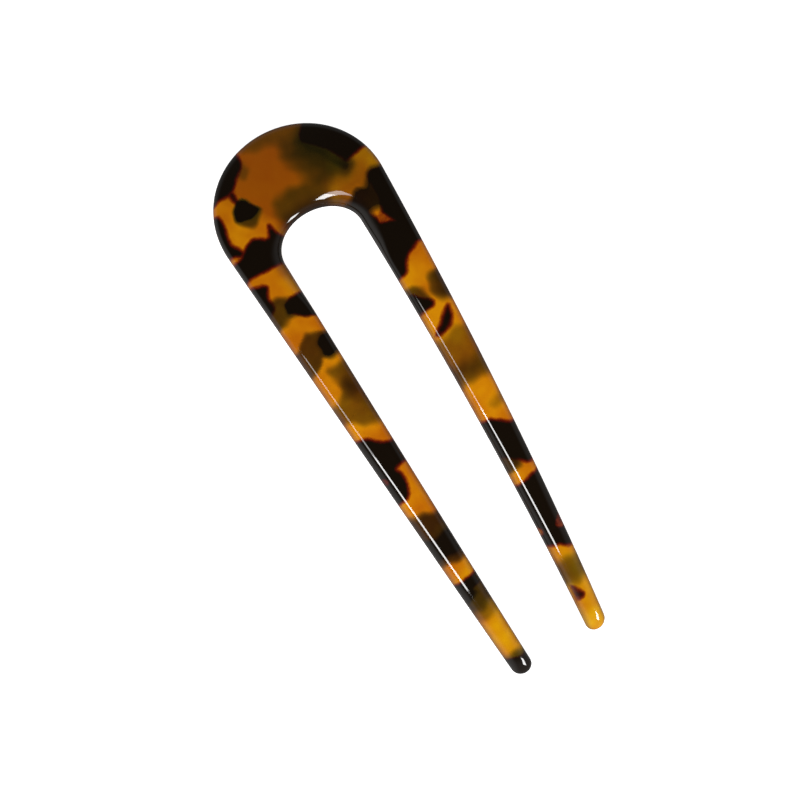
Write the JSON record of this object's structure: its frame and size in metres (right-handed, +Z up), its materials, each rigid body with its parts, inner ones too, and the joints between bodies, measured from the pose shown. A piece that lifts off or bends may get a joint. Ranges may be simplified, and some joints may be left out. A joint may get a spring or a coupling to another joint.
{
  "type": "french hair pin",
  "caption": "U-shaped hair pin of tortoiseshell acetate, with a broad round head and slim tapering legs, gently bowed to lie along the head.",
  "frame": {"origin": "middle of the pin's footprint, on the surface that it lies on", "axes": "+Y along the pin from the tips to the head, +Z up out of the bowed front face, +X across the legs"},
  "size_m": [0.0378, 0.1268, 0.0145],
  "materials": {
    "acetate": "polished cellulose acetate, amber with dark tortoiseshell patches"
  },
  "bodies": {
    "root": {"hair_pin": "acetate"}
  },
  "joints": []
}
